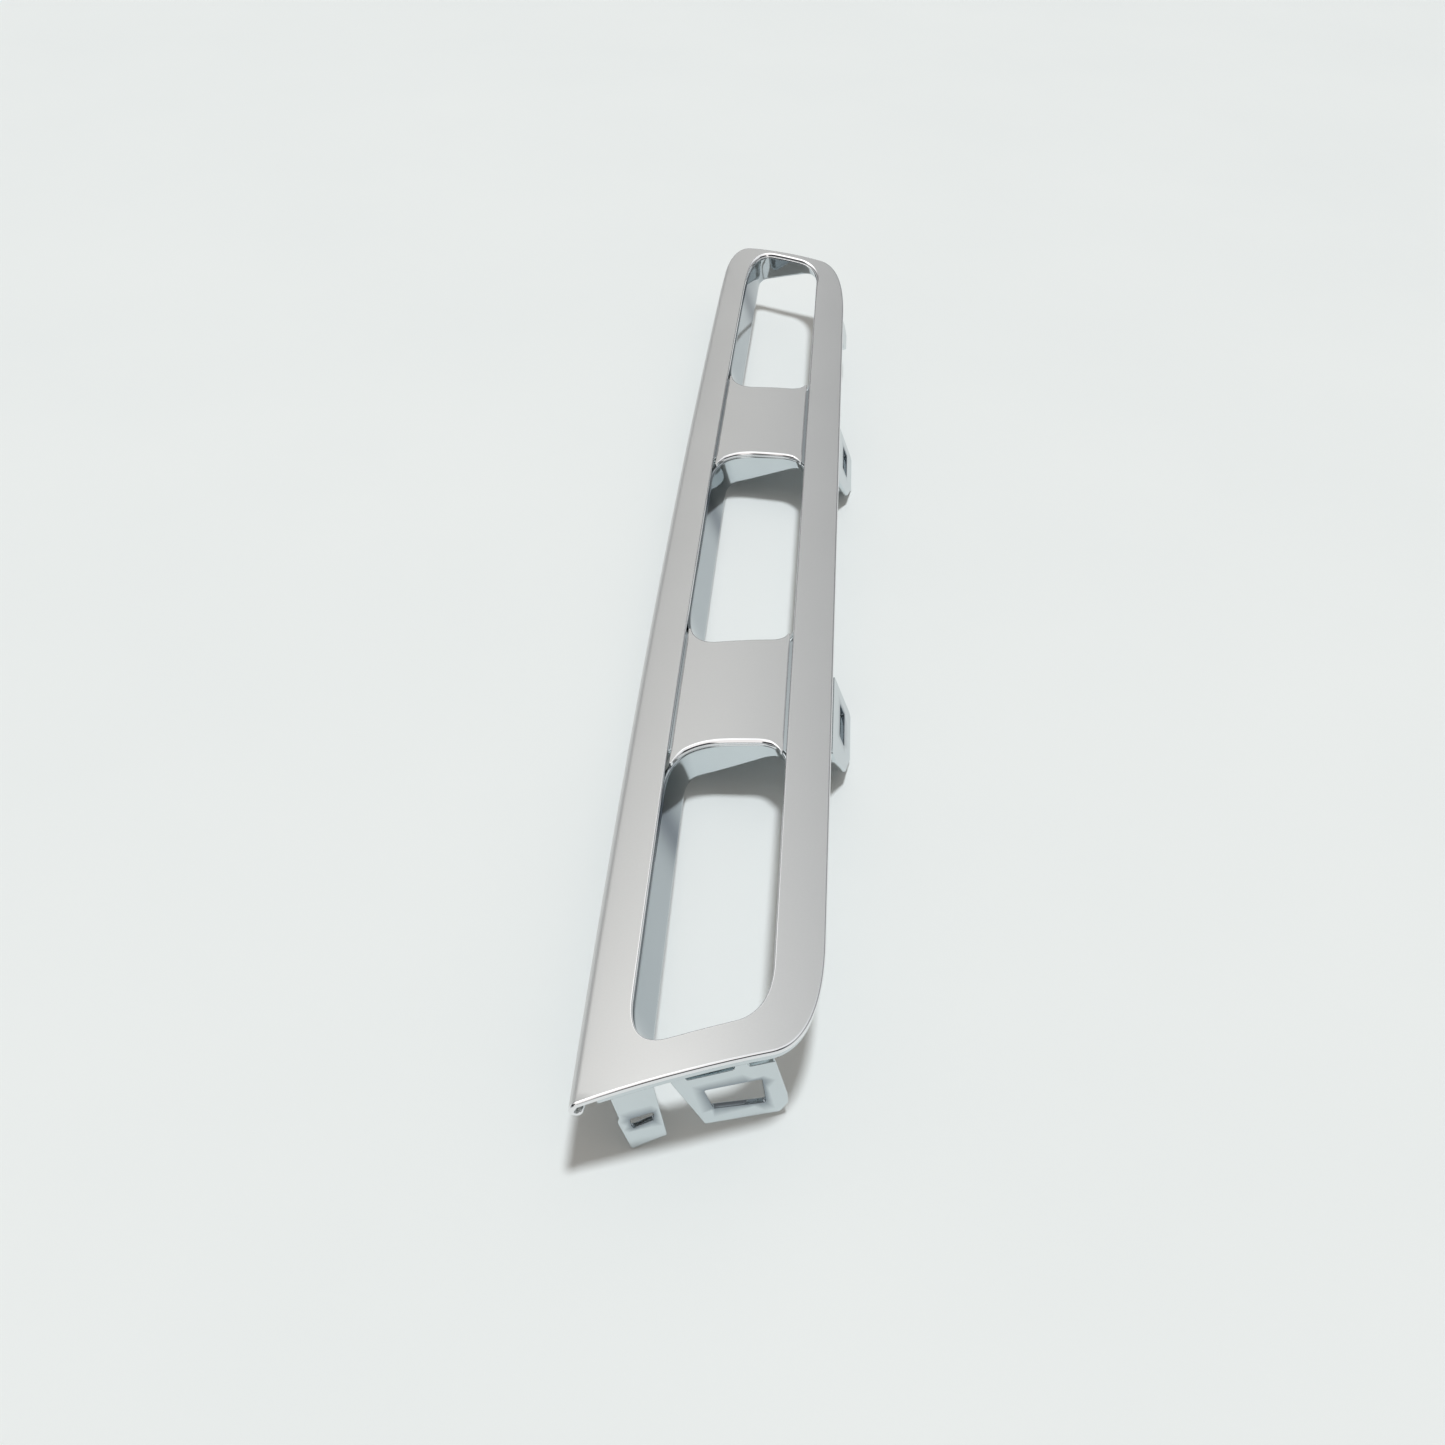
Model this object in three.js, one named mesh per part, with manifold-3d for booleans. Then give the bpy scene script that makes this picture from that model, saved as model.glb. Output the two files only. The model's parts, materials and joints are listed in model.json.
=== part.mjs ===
// A long, slim trim surround: a satin face with three windows, laid over a bright carrier with snap tabs.
// Units are millimetres. x runs across the part, y along it, z up. Pieces are drawn on a straight part,
// with z = 0 at the crest of the face, and lay() then gives them the gentle bends of the real one.
import * as THREE from "three";
import { mergeVertices } from "three/addons/utils/BufferGeometryUtils.js";
import Module from "manifold-3d";

const wasm = await Module();
wasm.setup();

// ---- Driving dimensions ----
const LEFT = -24.5; // left edge of the face
const RIGHT = 25.6; // right edge of the face
const CROWN_RADIUS = 152; // the face is domed across its width
const SKIN = 1.2; // wall thickness of the face
const LIP_RADIUS = 2.05; // the left edge rolls under in a hook of this outer radius
const LIP_END = 300; // degrees round the roll where the hook stops
const EDGE_CHAMFER = 0.4; // broken edge along the right side

const HALF_LENGTH = 200; // from the middle of the part to its longest corners
const SAG = 8.06; // the ends stand this much higher than the middle
const BOW = 2.14; // the ends stand this much further right than the middle
const TAPER = 0.08; // the ends are narrower than the middle by this share
const WEDGE = 0.045; // the left side is this share wider at the near end, and narrower at the far end
const REST_ROLL = 4; // degrees: resting on its tabs, the right side stands a little higher
const DRAW_LEAN = 19; // degrees: window walls and side tabs lean this far off the face's normal
const END_LEAN = 12; // degrees: the same for the tabs at the near end

const RAIL_LEFT = -14.4; // inner edge of the left rail
const RAIL_RIGHT = 14.5; // inner edge of the right rail
const GROOVE = 0.8; // width of the grooves between the bridges and the rails

const GAP = 0.15; // clearance between pieces that lie on each other
const DECK = 1.5; // thickness of the carrier under the face
const DECK_INSET = 0.4; // how far the carrier stays inside the edge of the face
const DECK_LEFT = -19.3; // left edge of the carrier, clear of the rolled lip
const WALL = 1.1; // thickness of the window liners
const LINER_DROP = 8.5; // depth of the liners on the centre line, under the crest
const LINER_LEAST = 1; // least height of a liner below the carrier
const LINER_CORNER = [4, 6]; // corner of a liner's far and left walls, tighter than that of the face

const TAB = 1.4; // thickness of the snap tabs
const ROOT_GAP = 0.3; // clearance between a tab's root and the carrier
const SIDE_TAB_Z = -2; // height at which the place of a side tab's outer face is given
const END_TAB_INSET = 3; // outer face of the end tabs, inside the near end of the face
const END_TAB_Z = -1.7; // height at which the place of their outer faces is given

const SLICE = 20; // longest straight step along the bends
const REACH = 30; // how far cutting shapes run past what they cut

// An end crosses the centre line at y, with a slope, and has a soft corner [across, along] on either side.
const FACE = {
  near: { y: -191.1, slope: 0.36, left: [1, 1], right: [10.4, 27] },
  far: { y: 188.7, slope: -0.33, left: [10, 30], right: [10, 34] },
};
const WINDOWS = [
  {
    name: "near",
    near: { y: -181.2, slope: 0.384, left: [8.5, 14], right: [7.5, 13.6] },
    far: { y: -91.5, slope: 0.07, left: [14, 15], right: [7.5, 10] },
  },
  {
    name: "middle",
    near: { y: -49.5, slope: 0.12, left: [9, 19], right: [5.5, 10] },
    far: { y: 47.6, slope: -0.07, left: [13, 13.5], right: [7, 9] },
  },
  {
    name: "far",
    near: { y: 89.6, slope: -0.05, left: [10, 19], right: [7, 10] },
    far: { y: 185, slope: -0.38, left: [10, 28], right: [8, 14] },
  },
];

const satinFace = { color: 0xc4c0bd, roughness: 0.42, metalness: 0.9 };
const brightPlate = { color: 0xdfe3e8, roughness: 0.06, metalness: 1 };

// ---- Shaping helpers ----
const degrees = THREE.MathUtils.degToRad;
const point = (x, y) => new THREE.Vector2(x, y);

// Height of the face's top at x.
const faceTop = (x) => -(x * x) / (2 * CROWN_RADIUS);

// Moves a point of the straight part to its place on the resting part.
function layPoint(p) {
  const share = (p.y / HALF_LENGTH) ** 2;
  const wedge = p.x < 0 ? (WEDGE * p.y) / HALF_LENGTH : 0;
  const x = p.x * (1 - TAPER * share) * (1 - wedge) + BOW * share;
  const z = p.z + SAG * share;
  const roll = degrees(REST_ROLL);
  return new THREE.Vector3(
    x * Math.cos(roll) - z * Math.sin(roll),
    p.y,
    x * Math.sin(roll) + z * Math.cos(roll),
  );
}

function lay(geometry) {
  const position = geometry.getAttribute("position");
  const p = new THREE.Vector3();
  for (let i = 0; i < position.count; i++) {
    const laid = layPoint(p.fromBufferAttribute(position, i));
    position.setXYZ(i, laid.x, laid.y, laid.z);
  }
  return geometry;
}

// A three.js geometry as a closed solid that can be joined and cut.
function toSolid(geometry) {
  const bare = new THREE.BufferGeometry().setAttribute("position", geometry.getAttribute("position"));
  if (geometry.index) bare.setIndex(geometry.index);
  const merged = mergeVertices(bare, 1e-4);
  const vertProperties = new Float32Array(merged.getAttribute("position").array);
  const triVerts = new Uint32Array(merged.index.array);
  return new wasm.Manifold(new wasm.Mesh({ numProp: 3, vertProperties, triVerts }));
}

function toMesh(name, solid, finish) {
  const { vertProperties, triVerts } = solid.getMesh();
  const geometry = new THREE.BufferGeometry();
  geometry.setAttribute("position", new THREE.BufferAttribute(vertProperties, 3));
  geometry.setIndex(new THREE.BufferAttribute(triVerts, 1));
  geometry.computeVertexNormals();
  const mesh = new THREE.Mesh(geometry, new THREE.MeshStandardMaterial(finish));
  mesh.name = name;
  return mesh;
}

// A bar along y with the given outline in x and z.
function alongY(outline, from, to) {
  const depth = to - from;
  const steps = Math.ceil(depth / SLICE);
  const geometry = new THREE.ExtrudeGeometry(new THREE.Shape(outline), { depth, steps, bevelEnabled: false });
  geometry.rotateX(Math.PI / 2);
  geometry.translate(0, to, 0);
  return toSolid(lay(geometry));
}

// Adds points to a loop so that no side is longer than SLICE.
function sliced(loop) {
  return loop.flatMap((start, i) => {
    const end = loop[(i + 1) % loop.length];
    const pieces = Math.max(1, Math.ceil(start.distanceTo(end) / SLICE));
    return Array.from({ length: pieces }, (_, k) => start.clone().lerp(end, k / pieces));
  });
}

// A block with the given outline in x and y, its sides leaning by an angle as they go down from the face.
function throughZ(loop, lean = 0) {
  const shape = new THREE.Shape(sliced(loop));
  const geometry = new THREE.ExtrudeGeometry(shape, { depth: 2 * REACH, steps: 1, bevelEnabled: false });
  const position = geometry.getAttribute("position");
  for (let i = 0; i < position.count; i++) {
    const z = position.getZ(i) - REACH;
    const slip = Math.tan(degrees(lean)) * (-SKIN - z);
    position.setXYZ(i, position.getX(i) + slip, position.getY(i), z);
  }
  return toSolid(lay(geometry));
}

// Points of a soft corner, from start to end, drawn in by the sharp corner between them.
function softCorner(start, corner, end) {
  return new THREE.QuadraticBezierCurve(start, corner, end).getPoints(7);
}

// One end of a loop, from its left side to its right. inwards is 1 at the near end and -1 at the far end.
function endCurve(end, inwards, left, right) {
  const at = (x) => end.y + end.slope * x;
  const [leftAcross, leftAlong] = end.left;
  const [rightAcross, rightAlong] = end.right;
  return [
    ...softCorner(
      point(left, at(left) + inwards * leftAlong),
      point(left, at(left)),
      point(left + leftAcross, at(left + leftAcross)),
    ),
    ...softCorner(
      point(right - rightAcross, at(right - rightAcross)),
      point(right, at(right)),
      point(right, at(right) + inwards * rightAlong),
    ),
  ];
}

// Anticlockwise loop between two ends, with straight sides.
function loopBetween(near, far, left, right) {
  return [...endCurve(near, 1, left, right), ...endCurve(far, -1, left, right).reverse()];
}

const openingLoop = (near, far) => loopBetween(near, far, RAIL_LEFT, RAIL_RIGHT);
const linerLoop = (near, far) => openingLoop(near, { ...far, left: LINER_CORNER });

// The loop moved outwards by a distance, or inwards where it is negative.
function offsetLoop(loop, distance) {
  return loop.map((p, i) => {
    const before = loop[(i + loop.length - 1) % loop.length];
    const after = loop[(i + 1) % loop.length];
    const along = after.clone().sub(before).normalize();
    return point(p.x + along.y * distance, p.y - along.x * distance);
  });
}

// Outline of the whole face in x and y, drawn in by an inset, with its left side at a given x.
function faceLoop(inset, left) {
  const drawnIn = (end, inwards) => ({ ...end, y: end.y + inwards * inset * Math.hypot(1, end.slope) });
  return loopBetween(drawnIn(FACE.near, 1), drawnIn(FACE.far, -1), left, RIGHT - inset);
}

// Points on the dome of the face, a drop below its top.
function domeLine(from, to, drop, count = 12) {
  return Array.from({ length: count + 1 }, (_, i) => {
    const x = from + ((to - from) * i) / count;
    return point(x, faceTop(x) - drop);
  });
}

// A layer that follows the dome, between two depths below the top of the face.
function domeLayer(left, right, upper, lower) {
  const outline = [...domeLine(left, right, lower), ...domeLine(right, left, upper)];
  return alongY(outline, -HALF_LENGTH - SLICE, HALF_LENGTH + SLICE);
}

// ---- The satin face ----
function rolledSection() {
  const centre = point(LEFT + LIP_RADIUS, faceTop(LEFT + LIP_RADIUS) - LIP_RADIUS);
  const arc = (radius, from, to, count) =>
    Array.from({ length: count + 1 }, (_, i) => {
      const angle = degrees(from + ((to - from) * i) / count);
      return point(centre.x + radius * Math.cos(angle), centre.y + radius * Math.sin(angle));
    });
  return [
    ...domeLine(RIGHT - EDGE_CHAMFER, centre.x, 0),
    ...arc(LIP_RADIUS, 90, LIP_END, 10).slice(1),
    ...arc(LIP_RADIUS - SKIN, LIP_END, 90, 7),
    ...domeLine(centre.x, RIGHT, SKIN).slice(1),
    point(RIGHT, faceTop(RIGHT) - EDGE_CHAMFER),
  ];
}

function makeFaceFrame() {
  const first = WINDOWS[0];
  const last = WINDOWS[WINDOWS.length - 1];
  const solid = alongY(rolledSection(), -HALF_LENGTH - SLICE, HALF_LENGTH + SLICE)
    .intersect(throughZ(faceLoop(0, LEFT - GAP)))
    .subtract(throughZ(openingLoop(first.near, last.far)));
  return toMesh("face_frame", solid, satinFace);
}

// A bridge fills the gap between two windows, flush with the rails and a groove away from them.
function makeBridge(name, before, after) {
  const margin = 25;
  const section = [
    ...domeLine(RAIL_LEFT + GROOVE, RAIL_RIGHT - GROOVE, SKIN),
    ...domeLine(RAIL_RIGHT - GROOVE, RAIL_LEFT + GROOVE, 0),
  ];
  const solid = alongY(section, before.far.y - margin, after.near.y + margin)
    .subtract(throughZ(openingLoop(before.near, before.far)))
    .subtract(throughZ(openingLoop(after.near, after.far)));
  return toMesh(name, solid, satinFace);
}

// ---- The bright carrier and liners ----
const UNDER_FACE = SKIN + GAP;
const UNDER_DECK = UNDER_FACE + DECK;

function makeCarrier() {
  const solid = WINDOWS.reduce(
    (body, { near, far }) =>
      body.subtract(throughZ(offsetLoop(linerLoop(near, far), WALL + GAP), DRAW_LEAN)),
    domeLayer(DECK_LEFT - REACH, RIGHT + REACH, UNDER_FACE, UNDER_DECK).intersect(
      throughZ(faceLoop(DECK_INSET, DECK_LEFT)),
    ),
  );
  return toMesh("carrier", solid, brightPlate);
}

// The room that liners may fill: below the face, and above a floor square to the lean of their walls.
function linerRoom() {
  const floor = domeLine(RIGHT, LEFT, 0).map(({ x }) => {
    const leaning = Math.tan(degrees(DRAW_LEAN)) * x - LINER_DROP;
    return point(x, Math.min(leaning, faceTop(x) - UNDER_DECK - LINER_LEAST));
  });
  return alongY([...domeLine(LEFT, RIGHT, UNDER_FACE), ...floor], -HALF_LENGTH, HALF_LENGTH);
}

function makeLiner({ name, near, far }) {
  const loop = linerLoop(near, far);
  const solid = throughZ(offsetLoop(loop, WALL), DRAW_LEAN)
    .subtract(throughZ(loop, DRAW_LEAN))
    .intersect(linerRoom());
  return toMesh("window_liner_" + name, solid, brightPlate);
}

// ---- Snap tabs ----
// A tab is drawn flat: s runs along the edge it hangs from and h goes down the tab. frame says where that is.
function layTab(frame, outline, windows) {
  const shape = new THREE.Shape(outline.map(([s, h]) => point(s, h)));
  shape.holes = windows.map((hole) => new THREE.Path(hole.map(([s, h]) => point(s, h))));
  const geometry = new THREE.ExtrudeGeometry(shape, { depth: TAB, steps: 1, bevelEnabled: false });
  const basis = new THREE.Matrix4().makeBasis(frame.along, frame.down, frame.inwards);
  geometry.applyMatrix4(basis.setPosition(frame.origin));
  if (basis.determinant() < 0) {
    const index = mergeVertices(geometry.deleteAttribute("normal").deleteAttribute("uv"), 1e-4);
    const faces = index.index.array;
    for (let i = 0; i < faces.length; i += 3) [faces[i], faces[i + 1]] = [faces[i + 1], faces[i]];
    return toSolid(lay(index));
  }
  return toSolid(lay(geometry));
}

// The carrier with room for the tabs' roots, which is taken off the top of each tab.
const rootRoom = domeLayer(LEFT - REACH, RIGHT + REACH, -REACH, UNDER_DECK + ROOT_GAP);

function makeTab(name, frame, outline, windows, rootSpan) {
  const solid = layTab(frame, outline, windows).subtract(rootRoom);
  const mesh = toMesh(name, solid, brightPlate);
  const root = (s) => {
    const middle = frame.inwards.clone().multiplyScalar(TAB / 2);
    const p = frame.origin.clone().addScaledVector(frame.along, s).add(middle);
    const depth = (p.z - faceTop(p.x) + UNDER_DECK + ROOT_GAP / 2) / -frame.down.z;
    return layPoint(p.addScaledVector(frame.down, depth));
  };
  mesh.userData.flexesAbout = { from: root(rootSpan[0]), to: root(rootSpan[1]) };
  return mesh;
}

function leaningDown(lean) {
  return new THREE.Vector3(Math.sin(degrees(lean)), 0, -Math.cos(degrees(lean)));
}

function endFrame() {
  const { y, slope } = FACE.near;
  const along = new THREE.Vector3(1, slope, 0).normalize();
  const down = leaningDown(END_LEAN);
  const inwards = new THREE.Vector3().crossVectors(along, down).normalize();
  const origin = new THREE.Vector3(0, y + END_TAB_INSET, END_TAB_Z);
  return { origin, along, down, inwards };
}

// A side tab hangs from the long edge, and h goes down from y = start.
function sideFrame(x, start) {
  const along = new THREE.Vector3(0, 1, 0);
  const down = leaningDown(DRAW_LEAN);
  const inwards = new THREE.Vector3().crossVectors(along, down).normalize();
  if (inwards.x * x > 0) inwards.negate();
  return { origin: new THREE.Vector3(x, start, SIDE_TAB_Z), along, down, inwards };
}

// The narrow tab near the left corner of the near end, with a catch hole.
const LEG_OUTLINE = [
  [-19.1, 0],
  [-9.8, 0],
  [-11.6, 19.6],
  [-15.9, 20.3],
  [-19.6, 21.2],
  [-19.9, 11.8],
  [-19.3, 11.5],
];
const LEG_HOLE = [
  [-17.3, 12],
  [-12.2, 11.6],
  [-12.9, 14],
  [-17.6, 15],
];
const LEG_ROOT = [-19.1, -9.8];

// The wide catch plate beside it hangs on two short necks, which leave a slot along its top.
const PLATE_OUTLINE = [
  [-6.5, 0],
  [-3.7, 0],
  [-3.7, 4.6],
  [6.8, 5],
  [6.8, 0],
  [9.6, 0],
  [9.6, 5.2],
  [15.4, 5.6],
  [15.6, 16.5],
  [15.2, 19.2],
  [12.8, 21.4],
  [-3.5, 19.2],
  [-6.7, 4.6],
];
const PLATE_HOLE = [
  [-1.1, 9],
  [11.4, 10.1],
  [10.6, 17.3],
  [-0.5, 15],
];
const PLATE_ROOT = [-6.5, 9.6];

// The catch plates along the sides: a slanted lower corner and a slit-shaped window.
const SIDE_LENGTH = 31;
function sideOutline(depth) {
  return [
    [0, 0],
    [SIDE_LENGTH, 0],
    [SIDE_LENGTH, depth - 1],
    [SIDE_LENGTH - 1, depth],
    [12.5, depth],
    [4.5, depth - 3.3],
    [0, depth - 11],
  ];
}
function sideHole(depth) {
  return [
    [12.5, depth - 8.8],
    [25.5, depth - 8.8],
    [25.5, depth - 5],
    [12.5, depth - 5],
  ];
}

// A short rounded lug nearer the far end.
const LUG_LENGTH = 18;
const LUG_OUTLINE = [
  [0, 0],
  [LUG_LENGTH, 0],
  [LUG_LENGTH - 1, 6.5],
  [LUG_LENGTH - 4.5, 9],
  [4, 9],
  [1, 6.5],
];

// x is the outer face of a tab. The tabs under the left rail hang from the carrier's left edge.
const TAB_LEFT = DECK_LEFT + 0.1;
const SIDE_TABS = [
  { name: "snap_tab_right_1", x: 24.8, start: -89, depth: 17.1 },
  { name: "snap_tab_right_2", x: 24.1, start: 43, depth: 16.9 },
  { name: "snap_tab_left_1", x: TAB_LEFT, start: -89, depth: 12.2 },
  { name: "snap_tab_left_2", x: TAB_LEFT, start: 43, depth: 12.2 },
];
const LUGS = [
  { name: "snap_lug_right", x: 24, start: 131 },
  { name: "snap_lug_left", x: TAB_LEFT, start: 131 },
];

function makeTabs() {
  const ends = [
    makeTab("snap_leg_near", endFrame(), LEG_OUTLINE, [LEG_HOLE], LEG_ROOT),
    makeTab("catch_plate_near", endFrame(), PLATE_OUTLINE, [PLATE_HOLE], PLATE_ROOT),
  ];
  const sides = SIDE_TABS.map(({ name, x, start, depth }) =>
    makeTab(name, sideFrame(x, start), sideOutline(depth), [sideHole(depth)], [0, SIDE_LENGTH]),
  );
  const lugs = LUGS.map(({ name, x, start }) =>
    makeTab(name, sideFrame(x, start), LUG_OUTLINE, [], [0, LUG_LENGTH]),
  );
  return [...ends, ...sides, ...lugs];
}

// ---- Assembly ----
const [nearWindow, middleWindow, farWindow] = WINDOWS;
const surround = new THREE.Group();
surround.add(
  makeFaceFrame(),
  makeBridge("bridge_near", nearWindow, middleWindow),
  makeBridge("bridge_far", middleWindow, farWindow),
  makeCarrier(),
  ...WINDOWS.map(makeLiner),
  ...makeTabs(),
);

// The origin is on the ground, under the middle of the part.
const extent = new THREE.Box3().setFromObject(surround);
const middle = extent.getCenter(new THREE.Vector3());
surround.position.set(-middle.x, -middle.y, -extent.min.z);

export default surround;
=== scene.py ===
"""Looks of a long, slim trim surround: a satin face with three windows over a bright carrier with snap tabs.

Shapes are drawn in millimetres on a straight part, with x across it, y along it and z = 0 at the crest of
the face. lay() bends them onto the resting part, and the boxes of the CAD's face and carrier say where that
part stands.
"""

import json
import math

import bpy
import numpy as np
from mathutils import Matrix, Vector
from mathutils.geometry import delaunay_2d_cdt

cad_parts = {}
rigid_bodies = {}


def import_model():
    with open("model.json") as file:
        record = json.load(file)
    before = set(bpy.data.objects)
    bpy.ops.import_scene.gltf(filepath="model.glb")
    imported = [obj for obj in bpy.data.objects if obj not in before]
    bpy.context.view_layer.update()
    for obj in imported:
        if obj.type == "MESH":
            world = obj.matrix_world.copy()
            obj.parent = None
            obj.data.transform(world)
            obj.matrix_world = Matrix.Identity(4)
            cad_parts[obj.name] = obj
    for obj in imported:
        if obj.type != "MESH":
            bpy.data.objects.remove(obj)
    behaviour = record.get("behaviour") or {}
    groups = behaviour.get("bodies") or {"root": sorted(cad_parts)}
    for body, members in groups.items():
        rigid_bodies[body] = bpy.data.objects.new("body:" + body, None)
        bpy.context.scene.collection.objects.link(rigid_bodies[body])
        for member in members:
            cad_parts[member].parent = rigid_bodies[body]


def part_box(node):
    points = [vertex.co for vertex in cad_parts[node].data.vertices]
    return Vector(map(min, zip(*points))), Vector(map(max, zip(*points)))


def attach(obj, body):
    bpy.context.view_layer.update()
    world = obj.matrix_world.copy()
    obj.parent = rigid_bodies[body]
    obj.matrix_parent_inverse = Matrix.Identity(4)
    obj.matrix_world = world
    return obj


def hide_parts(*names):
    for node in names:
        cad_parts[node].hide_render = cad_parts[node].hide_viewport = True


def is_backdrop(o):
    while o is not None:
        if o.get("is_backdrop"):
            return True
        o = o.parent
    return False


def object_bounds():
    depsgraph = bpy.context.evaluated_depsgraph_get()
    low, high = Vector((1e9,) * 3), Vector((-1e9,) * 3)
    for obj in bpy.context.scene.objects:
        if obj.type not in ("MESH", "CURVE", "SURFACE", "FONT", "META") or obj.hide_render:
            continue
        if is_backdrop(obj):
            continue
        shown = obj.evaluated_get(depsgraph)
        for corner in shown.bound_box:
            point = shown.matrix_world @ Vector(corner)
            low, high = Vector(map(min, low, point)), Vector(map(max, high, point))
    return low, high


for spare in list(bpy.data.objects):
    bpy.data.objects.remove(spare)
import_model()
cad_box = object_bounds()

MM = 0.001

# ---- Driving dimensions, in millimetres ----
LEFT = -24.5
RIGHT = 25.6
CROWN_RADIUS = 152
SKIN = 1.2
LIP_RADIUS = 2.05
LIP_END = 300
HALF_LENGTH = 200
SAG = 8.06
BOW = 2.14
TAPER = 0.08
WEDGE = 0.045
REST_ROLL = math.radians(4)
DRAW = math.tan(math.radians(19))
RAIL_LEFT = -14.4
RAIL_RIGHT = 14.5
GROOVE = 0.8
GAP = 0.15
DECK = 1.5
DECK_INSET = 0.4
DECK_LEFT = -19.3
WALL = 1.1
LINER_DROP = 8.5
LINER_LEAST = 1
LINER_CORNER = (4, 6)
TAB = 1.4
TAB_TOP = 2.9
END_LEAN = math.radians(12)
END_TAB_INSET = 3
END_TAB_Z = -1.7
SIDE_TAB_Z = -2
UNDER_FACE = SKIN + GAP

# Roundings that the CAD leaves off. SUPPORT is a narrow flat ring that keeps a flat sheet's shading flat.
EDGE_ROUND = 0.55
LIP_ROUND = 0.58
RAIL_ROUND = 0.3
END_BEAD = 1.1
BAR_BEADS = {"near": 1.0, "far": 0.9}
BAR_BACK_ROUND = 0.35
BAR_UNDER_ROUND = 0.1
UNDER_ROUND = 0.15
DECK_ROUNDS = (0.2, 0.35)
DECK_HOLE_ROUND = 0.15
TAB_ROUNDS = (0.2, 0.15)
TAB_CORNER = 0.5
TAB_HOLE_CORNER = 0.35
SUPPORT = 0.12
LEAST_FILLET = 0.03
# The lip fades out along the left edge before the far corner. Bars have narrow blunt horns beside the rails.
LIP_CORNER = 1.4
LIP_FADE = 50
BEAD_REACH = 12
CUT_ROOM = 0.12
HORN_WIDTH = 0.55
HORN_NIB = 0.3
HORN_ROUND = 0.1
HORN_MARGIN = 0.05
HORN_BLUNT = 2
HORN_TO_SIDE = 0.05
HORN_TO_END = 0.3
# A wall's bottom edge, as (share of the depth, share of the wall's thickness, bulge).
WALL_LIP = [(1, 0.1, 0.08), (1, 0.3, 0.14), (1, 0.7, 0.14), (1, 0.9, 0.08)]
WALL_ROWS = 14

# Longest sides of the outlines.
FACE_STEP = 5
BAR_STEP = 2
WALL_STEP = 3
TAB_STEP = 1.5
HOLE_STEP = 1

# Painted shade on the bright walls and tabs, as brightness from 0, a painted dark reflection, to 1. The left
# wall of a window loses a share of it as painted shade, and most of the rest in a patch of painted dark
# reflection that stands a set distance from the window's far end.
LEFT_WALL_LOSS = 0.42
LEFT_WALL_FADE = (1, 5)
DARK_REFLECTION_LOSS = 0.9
DARK_REFLECTION_AT = 24
DARK_REFLECTION_HALF = 8
# Painted shade on the end wall of the far window, fading out away from it.
FAR_WALL_LOSS = 0.2
FAR_WALL_FADE = (5, 30)
# Tab flats are dimmed so that their edges stand out as a painted highlight, and a hole's rim is painted
# shade.
SIDE_TAB_BRIGHTNESS = 0.8
HOLE_RIM_BRIGHTNESS = 0.4

# An end crosses the centre line at y, with a slope, and has a soft corner (across, along) on either side.
FACE = {
    "near": dict(y=-191.1, slope=0.36, left=(1, 1), right=(10.4, 27)),
    "far": dict(y=188.7, slope=-0.33, left=(10, 30), right=(10, 34)),
}
WINDOWS = {
    "near": (
        dict(y=-181.2, slope=0.384, left=(8.5, 14), right=(7.5, 13.6)),
        dict(y=-91.5, slope=0.07, left=(14, 15), right=(7.5, 10)),
    ),
    "middle": (
        dict(y=-49.5, slope=0.12, left=(9, 19), right=(5.5, 10)),
        dict(y=47.6, slope=-0.07, left=(13, 13.5), right=(7, 9)),
    ),
    "far": (
        dict(y=89.6, slope=-0.05, left=(10, 19), right=(7, 10)),
        dict(y=185, slope=-0.38, left=(10, 28), right=(8, 14)),
    ),
}

LEG = [(-19.1, 0), (-9.8, 0), (-11.6, 19.6), (-15.9, 20.3), (-19.6, 21.2), (-19.9, 12.3), (-19.3, 11.1)]
LEG_HOLE = [(-17.3, 12), (-12.2, 11.6), (-12.9, 14), (-17.6, 15)]
PLATE = [
    (-6.5, 0), (-3.7, 0), (-3.7, 4.6), (6.8, 5), (6.8, 0), (9.6, 0), (9.6, 5.2),
    (15.4, 5.6), (15.6, 16.5), (15.2, 19.2), (12.8, 21.4), (-3.5, 19.2), (-6.7, 4.6),
]
PLATE_HOLE = [(-1.1, 9), (11.4, 10.1), (10.6, 17.3), (-0.5, 15)]
LUG = [(0, 0), (18, 0), (17, 6.5), (13.5, 9), (4, 9), (1, 6.5)]
SIDE_LENGTH = 31
LUG_START = 131
LUG_RIGHT = 24
LEFT_ROOT = DECK_LEFT + 0.1
# Where each side tab hangs, across and along, and its depth.
SIDE_TABS = {
    "right_1": (24.8, -89, 17.1),
    "right_2": (24.1, 43, 16.9),
    "left_1": (LEFT_ROOT, -89, 12.2),
    "left_2": (LEFT_ROOT, 43, 12.2),
}

# ---- Camera, light and colours ----
# The camera's place is in the straight part's millimetres, and its angles are in radians.
CAMERA_PLACE = (26.42, -353.51, 233.07)
CAMERA_PITCH = 0.7079
CAMERA_ROLL = -0.0426
CAMERA_YAW = 0.103
CAMERA_LENS = 36
FLOOR_HALF = 6
LIGHT_FROM = (0.15, 0.12, 3)
LIGHT_ENERGY = 1.95
LIGHT_ANGLE = 0.15
LIGHT_COLOUR = (0.95, 0.985, 1)

SATIN = ((0.69, 0.69, 0.685, 1), (0.73, 0.73, 0.725, 1))
SATIN_EDGE = (0.86, 0.86, 0.87, 1)
SILVER = ((0.62, 0.67, 0.69, 1), (0.69, 0.74, 0.755, 1))
# A painted dark reflection, which the walls and tabs turn to as their painted shade deepens.
PAINTED_DARK_REFLECTION = (0.10, 0.125, 0.16, 1)
FLOOR = ((0.82, 0.86, 0.87, 1), (0.86, 0.895, 0.90, 1))

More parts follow.
